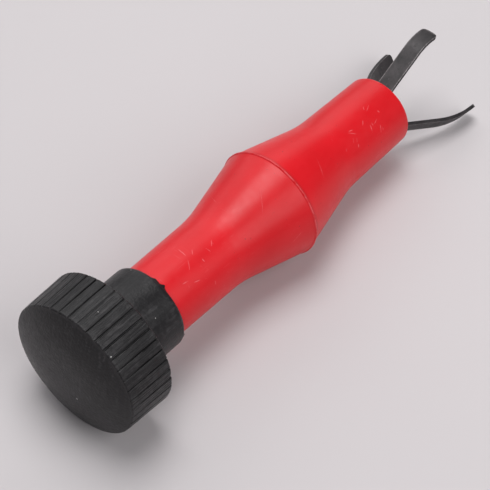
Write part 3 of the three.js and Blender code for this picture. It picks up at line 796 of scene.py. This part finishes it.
def finishKnob(mesh, shape):
    # uneven grooves, nicks and flash, where the surface is rubbed or ribbed, and painted shade in the
    # grooves and on the flash
    bm = bmesh.new()
    bm.from_mesh(mesh)
    bmesh.ops.recalc_face_normals(bm, faces=bm.faces)
    bm.to_mesh(mesh)
    bm.free()
    nicks = []
    for station, angle, size, depth in knobNicks:
        nicks.append((onTool(station, shape["faceRadius"] + 0.1, math.radians(angle)), size, depth))
    widening = (shape["backRadius"] - shape["faceRadius"]) / shape["gripLength"]
    wearValues = []
    paintedShadeValues = []
    ribbedValues = []
    for vertex in mesh.vertices:
        p = vertex.co
        radius = math.hypot(p.y, p.z)
        angle = math.atan2(-p.y, p.z)
        onGrip = p.x < shape["gripLength"] + 0.2 and (radius > shape["pocketRadius"] + 1 or p.x < 0.5)
        groove = 0.0
        if onGrip and radius > shape["faceRadius"] - shape["faceRound"] and p.x > 0.3:
            below = shape["faceRadius"] + widening * p.x - radius
            # some grooves are moulded shallower than others
            drift = noise.noise(Vector((math.cos(angle) * 6, math.sin(angle) * 6, p.x * 0.05)))
            shallow = smooth(-0.1, 0.5, drift)
            # the deeper a groove, the more painted shade it gets
            groove = smooth(0.1, 0.34, below) * smooth(0.2, 0.8, p.x) * (1 - 0.5 * shallow)
            grown = radius + max(below, 0) * shape["shallowing"] * shallow
            setRadius(p, radius, grown)
            radius = grown
        if onGrip and radius > 1:
            slow = noise.noise(p * 0.35) * 0.6 + noise.noise(p * 1.3) * 0.4
            inward = shape["unevenness"] * (0.5 + 0.5 * slow)
            for centre, size, depth in nicks:
                inward += depth * smooth(size, size * 0.25, (p - centre).length)
            if radius > shape["faceRadius"] - 1.5:
                setRadius(p, radius, radius - inward)
            else:
                p.x += inward * 0.8 * smooth(domeX, domeX + 0.1, p.x + 0.05)
        if p.x > collarEndX - 0.25 and shape["collarBore"] - 0.01 < radius < shape["collarRadius"] - 0.35:
            # thin moulding flash left standing in places on the collar's edge
            flash = flashShare(shape, math.degrees(angle))
            ragged = 0.75 + 0.9 * noise.noise(Vector((math.cos(angle), math.sin(angle), 2.3)) * 13)
            p.x += shape["flashHeight"] * (flash * ragged + 0.06 * ragged)
            # the flash gets the same painted shade, standing in for the shade at the collar's edge
            groove = flash
        fromEdge = math.hypot(p.x - 0.35, radius - shape["faceRadius"] + 0.35)
        rim = smooth(0.75, 0.1, abs(fromEdge - 0.3)) if onGrip else 0
        backRim = smooth(0.5, 0.1, abs(p.x - shape["gripLength"]) + abs(radius - shape["backRadius"]))
        collarRim = smooth(0.8, 0.2, abs(p.x - collarEndX) + abs(radius - shape["collarRadius"]) * 0.6)
        wearValues.append(max(0.35 * rim, 0.5 * backRim, 0.3 * collarRim))
        # painted shade for the grooves and the flash
        paintedShadeValues.append(0.85 * groove)
        ribbedValues.append(1.0 if onGrip and p.x > 0.3 and radius > shape["faceRadius"] - 1 else 0.0)
    pointValues(mesh, "wear", wearValues)
    pointValues(mesh, "dirt_and_painted_shade", paintedShadeValues)
    pointValues(mesh, "ribbed", ribbedValues)


knobSlice = knobSliceMesh(knobShape)
knobMesh = repeated(knobSlice, "knob", knobShape["ribs"], knobShape["mergeDistance"], knobSkin)
finishKnob(knobMesh, knobShape)
settle(knobMesh, "ribbed_knob", "knob", "knob_plastic", knobSkin, "knob")


clawShape = {
    "width": 4.4, "thickness": 0.86, "splay": 28.3, "tipRound": 1.4, "bevel": 0.13,
    "eyeGap": 2.0, "eyeMiddle": 1.175, "eyeWall": 0.55, "eyeFrom": 25, "eyeTurn": 245, "eyeSteps": 22,
    "neckLength": 2.25, "neckSteps": 8, "along": 0.34, "outerColumns": 4, "middleColumns": 6,
    "dimpleBack": 6.5, "dimpleSide": 0.25, "dimpleSize": 0.5, "dimpleDepth": 0.09,
}

# the top claw is bent more sharply and ends sooner than the two beside it
topBend = {"straight": 12.8, "curve": 8.0, "tipAngle": -18.4}
sideBend = {"straight": 12.2, "curve": 12.7, "tipAngle": -0.5}
clawBends = (topBend, sideBend, sideBend)


def clawPath(shape, bend):
    # middle line of the strip in the claw's own frame: place, normal and thickness at each step,
    # first the eye that is rolled round the pin, then the straight, then the curved tip
    pivot = place("claw_1_close")
    straight = (mouthX - pivot.x) / math.cos(math.radians(shape["splay"])) + bend["straight"]
    eye = []
    for k in range(shape["eyeSteps"] + 1):
        angle = math.radians(shape["eyeFrom"] + shape["eyeTurn"] * k / shape["eyeSteps"])
        outward = Vector((math.cos(angle), 0, math.sin(angle)))
        eye.append((outward * shape["eyeMiddle"], outward, shape["eyeWall"]))
    for k in range(1, shape["neckSteps"] + 1):
        share = k / shape["neckSteps"]
        x = shape["neckLength"] * share
        z = -shape["eyeMiddle"] * (1 - smooth(0, 1, share))
        lean = shape["eyeMiddle"] * 6 * share * (1 - share) / shape["neckLength"]
        down = Vector((lean, 0, -1)).normalized()
        thickness = shape["eyeWall"] + (shape["thickness"] - shape["eyeWall"]) * share
        eye.append((Vector((x, 0, z)), down, thickness))
    strip = []
    start = eye[-1][0].x
    run = straight - start
    count = math.ceil(run / shape["along"])
    for k in range(1, count + 1):
        strip.append((Vector((start + run * k / count, 0, 0)), Vector((0, 0, -1)), shape["thickness"]))
    turn = math.radians(shape["splay"] - bend["tipAngle"])
    radius = bend["curve"] / turn
    count = math.ceil(bend["curve"] / shape["along"] * 1.2)
    for k in range(1, count + 1):
        angle = turn * k / count
        away = Vector((math.sin(angle), 0, math.cos(angle)))
        strip.append((Vector((straight, 0, -radius)) + away * radius, -away, shape["thickness"]))
    return eye, strip


def clawMesh(shape, bend):
    eye, strip = clawPath(shape, bend)
    path = eye + strip
    lengths = [0.0]
    for a, b in zip(path, path[1:]):
        lengths.append(lengths[-1] + (b[0] - a[0]).length)
    total = lengths[-1]
    halfWidth = shape["width"] / 2
    outer = shape["outerColumns"]
    middle = shape["middleColumns"]
    gap = shape["eyeGap"] / 2
    across = [-halfWidth + (halfWidth - gap) * k / outer for k in range(outer)]
    across += [-gap + 2 * gap * k / middle for k in range(middle)]
    across += [gap + (halfWidth - gap) * k / outer for k in range(outer + 1)]
    forkRow = len(eye) - 1
    bm = bmesh.new()
    sides = []
    for side in (-0.5, 0.5):
        rows = []
        for i, (spot, normal, thickness) in enumerate(path):
            toEnd = total - lengths[i]
            width = halfWidth
            if toEnd < shape["tipRound"]:
                past = shape["tipRound"] - toEnd
                width += math.sqrt(max(shape["tipRound"] ** 2 - past ** 2, 0.02)) - shape["tipRound"]
            row = []
            for y in across:
                dent = Vector((lengths[i] - total + shape["dimpleBack"], y - shape["dimpleSide"])).length
                dent = shape["dimpleDepth"] * smooth(shape["dimpleSize"], 0.1, dent)
                point = spot + normal * (thickness * side + dent)
                row.append(bm.verts.new((point.x, y * width / halfWidth, point.z)))
            rows.append(row)
        sides.append(rows)
    upper, lower = sides

    def cell(i, j):
        inside = 0 <= i < len(path) - 1 and 0 <= j < len(across) - 1
        return inside and (i >= forkRow or j < outer or j >= outer + middle)

    for i in range(len(path) - 1):
        for j in range(len(across) - 1):
            if not cell(i, j):
                continue
            bm.faces.new((upper[i][j], upper[i + 1][j], upper[i + 1][j + 1], upper[i][j + 1]))
            bm.faces.new((lower[i][j], lower[i][j + 1], lower[i + 1][j + 1], lower[i + 1][j]))
            if not cell(i - 1, j):
                bm.faces.new((upper[i][j], upper[i][j + 1], lower[i][j + 1], lower[i][j]))
            if not cell(i + 1, j):
                bm.faces.new((upper[i + 1][j], lower[i + 1][j], lower[i + 1][j + 1], upper[i + 1][j + 1]))
            if not cell(i, j - 1):
                bm.faces.new((upper[i][j], lower[i][j], lower[i + 1][j], upper[i + 1][j]))
            if not cell(i, j + 1):
                bm.faces.new((upper[i][j + 1], upper[i + 1][j + 1], lower[i + 1][j + 1], lower[i][j + 1]))
    loose = [v for v in bm.verts if not v.link_faces]
    bmesh.ops.delete(bm, geom=loose, context="VERTS")
    bmesh.ops.recalc_face_normals(bm, faces=bm.faces)
    holder = linked("clawHolder", meshFrom(bm, "clawStrip"))
    bevel = holder.modifiers.new("edges", "BEVEL")
    bevel.width = shape["bevel"]
    bevel.segments = 3
    bevel.limit_method = "ANGLE"
    bevel.angle_limit = math.radians(50)
    return plainMesh(holder, "claw")


def finishClaw(mesh, shape, seed):
    # rubbed to bare metal in a thin line along both edges, and at the tip; the pale edge lines and tip are
    # also painted highlights
    halfWidth = shape["width"] / 2
    tipX = max(v.co.x for v in mesh.vertices)
    values = []
    for vertex in mesh.vertices:
        p = vertex.co
        inside = halfWidth - abs(p.y)
        edge = smooth(0.24, 0.13, inside) * smooth(0.01, 0.06, inside)
        edge = max(edge, smooth(tipX - 0.5, tipX - 0.1, p.x))
        patch = 0.5 + 0.5 * noise.noise(p * 0.8 + Vector((seed, 0, 0)))
        values.append(edge * (0.5 + 0.5 * patch))
    pointValues(mesh, "wear", values)


for k, bend in enumerate(clawBends):
    pivot = place(f"claw_{k + 1}_close")
    around = math.atan2(-pivot.y, pivot.z)
    seat = Matrix.Rotation(around, 4, "X") @ Matrix.Translation((pivot.x, 0, math.hypot(pivot.y, pivot.z)))
    lean = Matrix.Rotation(-math.radians(clawShape["splay"]), 4, "Y")
    oneClaw = clawMesh(clawShape, bend)
    finishClaw(oneClaw, clawShape, 5.0 * k)
    oneClaw.transform(seat @ lean)
    settle(oneClaw, f"claw_strip_{k + 1}", f"claw_{k + 1}", "spring_steel", clawSkin, f"claw_{k + 1}")


innerSkins = {
    "tail_seal": rubberSkin, "tail_bush": brassSkin, "thrust_washer": steelSkin, "knob_insert": brassSkin,
    "drive_pin": steelSkin, "lead_screw": steelSkin, "retaining_ring": steelSkin, "stop_ring": steelSkin,
    "claw_carrier": innerBlackSkin, "drive_nut": brassSkin,
}
for k in range(3):
    innerSkins[f"claw_pin_{k + 1}"] = steelSkin
    innerSkins[f"claw_spring_{k + 1}"] = steelSkin
for name, skin in innerSkins.items():
    mesh = cadNodes[name].data
    mesh.materials.clear()
    mesh.materials.append(skin)
print("inner pieces dressed:", len(innerSkins))


studio = {
    "floorColour": (0.60, 0.565, 0.575), "floorSize": 3.0,
    "worldColour": (0.93, 0.95, 1.0), "worldStrength": 0.16,
    "topPlace": (0.08, 0.12, 0.75), "topSize": (0.38, 0.46), "topPower": 3.85,
    "backPlace": (0.45, 0.60, 0.50), "backSize": (1.00, 0.60), "backPower": 2.7,
    "sidePlace": (0.05, -0.62, 0.54), "sideSize": (0.75, 0.58), "sidePower": 3.3,
    "leftPlace": (-0.75, -0.06, 0.20), "leftSize": (0.30, 0.30), "leftPower": 0.35,
}


def pinkishGreyFloor():
    material, tree, shader = startMaterial("pale_floor")
    source = addNode(tree, "ShaderNodeTexCoord").outputs["Object"]
    cloud = noiseValue(tree, source, 6, 4, 0.6)
    colour = studio["floorColour"]
    darker = tuple(0.94 * c for c in colour)
    feed(tree, shader, "Base Color", mixColours(tree, cloud, darker, colour))
    shader.inputs["Roughness"].default_value = 0.8
    return material


half = studio["floorSize"] / 2
floorMesh = bpy.data.meshes.new("floor")
floorCorners = [(-half, -half, 0), (half, -half, 0), (half, half, 0), (-half, half, 0)]
floorMesh.from_pydata(floorCorners, [], [(0, 1, 2, 3)])
floorMesh.materials.append(pinkishGreyFloor())
floor = linked("floor", floorMesh)
floor.location.z = cadLow.z

world = bpy.data.worlds.new("studioWorld")
world.use_nodes = True
background = world.node_tree.nodes["Background"]
background.inputs["Color"].default_value = (*studio["worldColour"], 1)
background.inputs["Strength"].default_value = studio["worldStrength"]
bpy.context.scene.world = world

middle = (cadLow + cadHigh) / 2


def softbox(name, placeAt, size, power):
    light = bpy.data.lights.new(name, "AREA")
    light.shape = "RECTANGLE"
    light.size, light.size_y = size
    light.energy = power
    lamp = linked(name, light)
    lamp.location = Vector(placeAt)
    lamp.rotation_mode = "QUATERNION"
    lamp.rotation_quaternion = (Vector(placeAt) - middle).to_track_quat("Z", "Y")


for side in ("top", "back", "side", "left"):
    softbox(side + "Softbox", studio[side + "Place"], studio[side + "Size"], studio[side + "Power"])

# the camera's place and its own axes, in the tool's frame
cameraShape = {
    "lens": 136.04, "place": (-0.16845, -0.17730, 0.32480),
    "right": (0.64838, -0.76047, 0.03589),
    "up": (0.56077, 0.50891, 0.65309),
    "back": (-0.51494, -0.40332, 0.75640),
}
cameraData = bpy.data.cameras.new("studioCamera")
cameraData.lens = cameraShape["lens"]
cameraData.sensor_width = 36
cameraData.clip_start = 0.01
cameraData.clip_end = 10
camera = linked("studioCamera", cameraData)
cameraAxes = Matrix((cameraShape["right"], cameraShape["up"], cameraShape["back"])).transposed()
camera.location = toolPlace @ Vector(cameraShape["place"])
camera.rotation_mode = "QUATERNION"
camera.rotation_quaternion = (toolTurn.to_3x3() @ cameraAxes).to_quaternion()
bpy.context.scene.camera = camera
bpy.context.scene.view_settings.view_transform = "Standard"
print("floor, light and camera ready")
